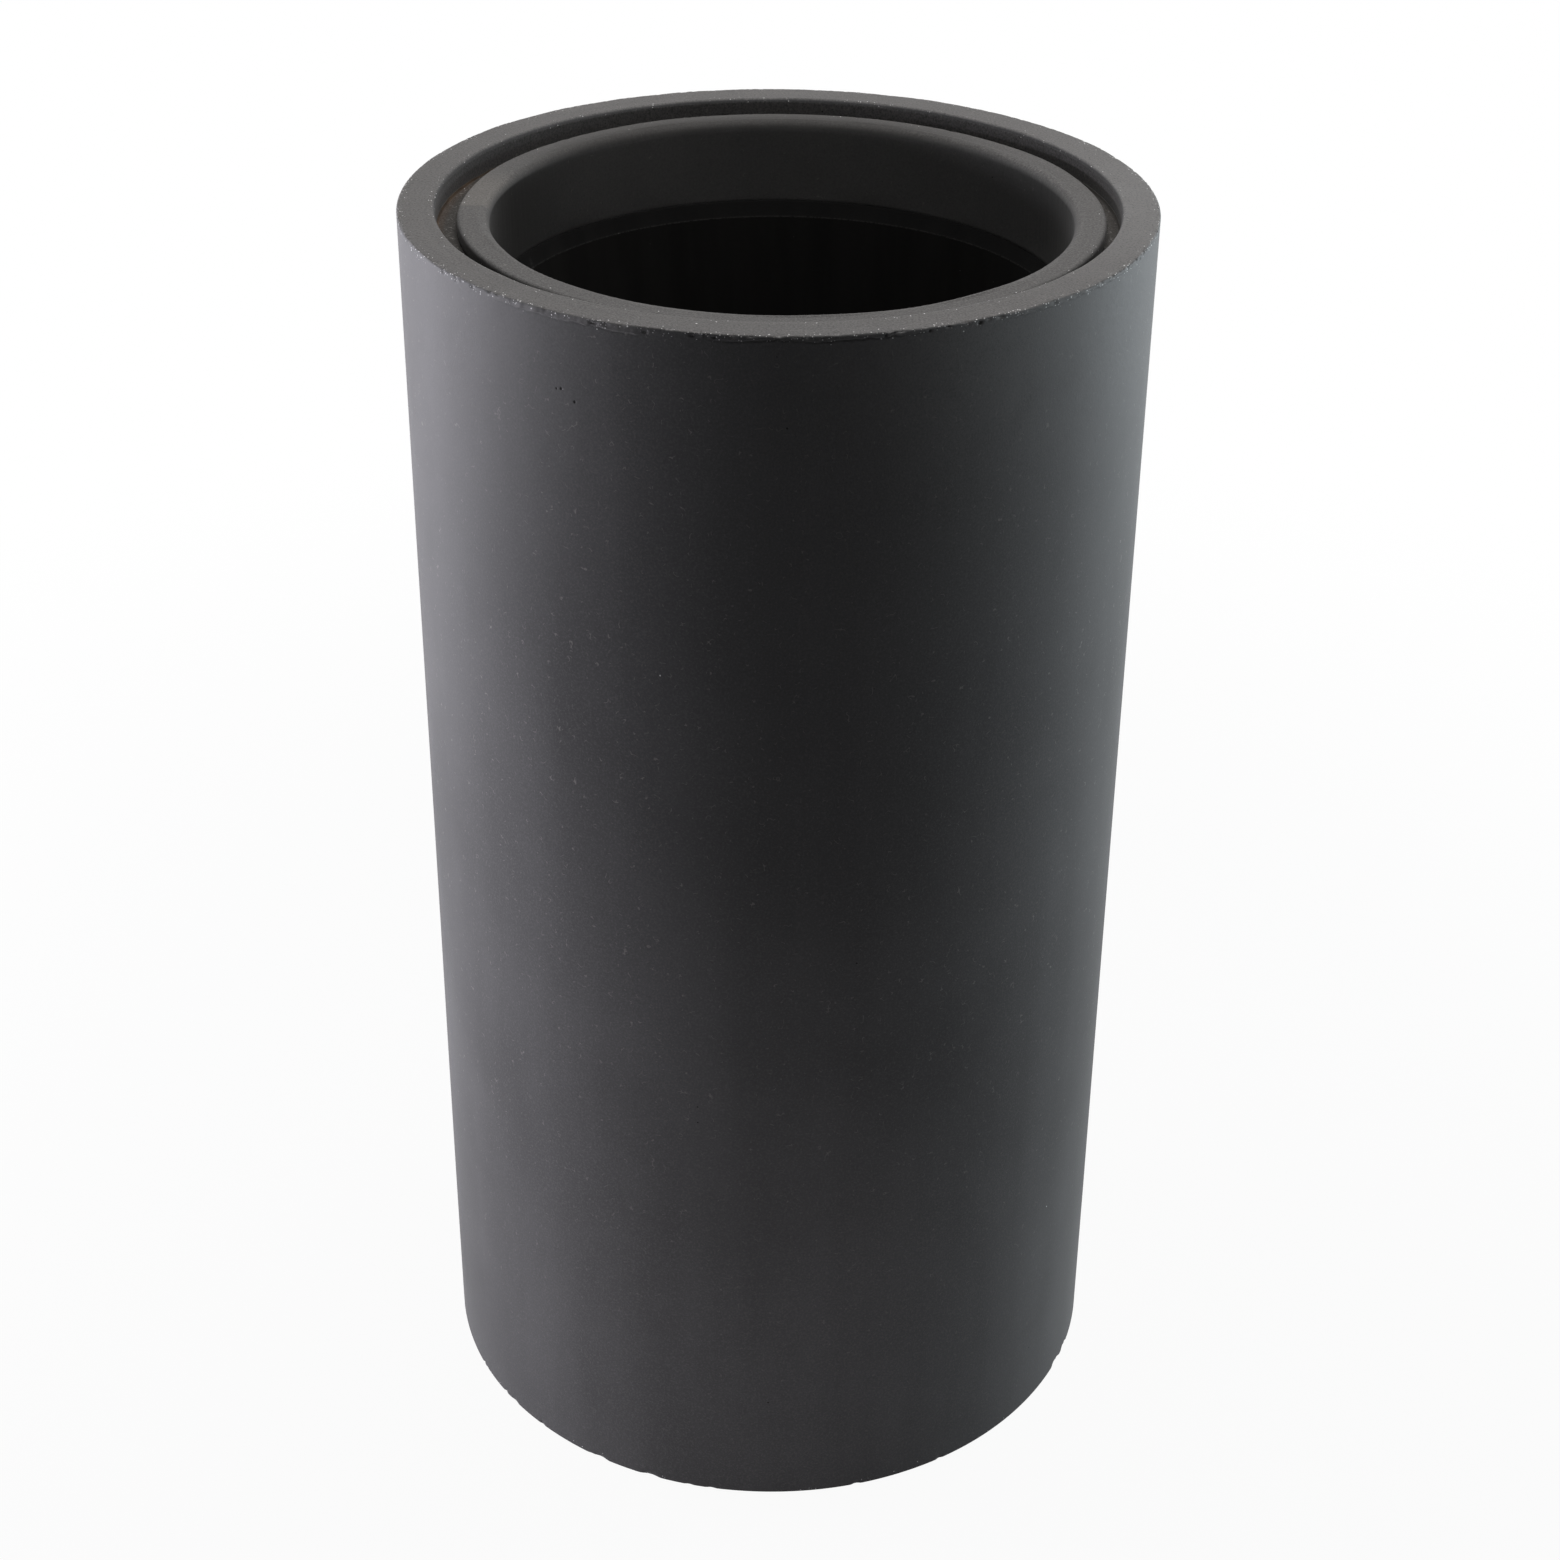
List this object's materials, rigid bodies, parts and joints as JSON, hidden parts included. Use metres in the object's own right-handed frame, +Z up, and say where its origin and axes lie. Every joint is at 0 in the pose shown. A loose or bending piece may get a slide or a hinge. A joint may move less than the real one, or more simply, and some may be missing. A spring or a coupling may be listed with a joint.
{
  "type": "tall cylindrical planter",
  "caption": "Tall straight round floor planter of dark fibre cement, with a flat rim, an inner ledge and a round-lipped planting insert that lifts out.",
  "frame": {"origin": "middle of the footprint, on the floor that the foot pads stand on", "axes": "+Z up along the shell's axis, +Y away from the viewer of the picture, +X to the viewer's right"},
  "size_m": [0.382, 0.382, 0.7],
  "materials": {
    "shell_cement": "matte fibre cement, through-coloured anthracite, sanded rim",
    "ledge_cement": "matte fibre cement, unsanded",
    "bond_resin": "brown wiped bonding resin",
    "collar_cement": "matte fibre cement, smooth",
    "tub_plastic": "black moulded plastic, dull",
    "plug_rubber": "black rubber",
    "pad_rubber": "dark grey rubber"
  },
  "bodies": {
    "shell": {"outer_shell": "shell_cement", "support_ring": "ledge_cement", "resin_bead": "bond_resin", "foot_pad_1": "pad_rubber", "foot_pad_2": "pad_rubber", "foot_pad_3": "pad_rubber", "foot_pad_4": "pad_rubber"},
    "insert": {"insert_collar": "collar_cement", "insert_tub": "tub_plastic"},
    "tub_plug": {"tub_drain_plug": "plug_rubber"},
    "shell_plug": {"shell_drain_plug": "plug_rubber"}
  },
  "joints": [
    {"name": "insert_lift", "type": "slide", "parent": "shell", "child": "insert", "axis": [0, 0, 1], "range_m": [0, 0.4]},
    {"name": "tub_plug_pull", "type": "slide", "parent": "insert", "child": "tub_plug", "axis": [0, 0, 1], "range_m": [0, 0.03]},
    {"name": "shell_plug_pull", "type": "slide", "parent": "shell", "child": "shell_plug", "axis": [0, 0, 1], "range_m": [0, 0.03]}
  ]
}
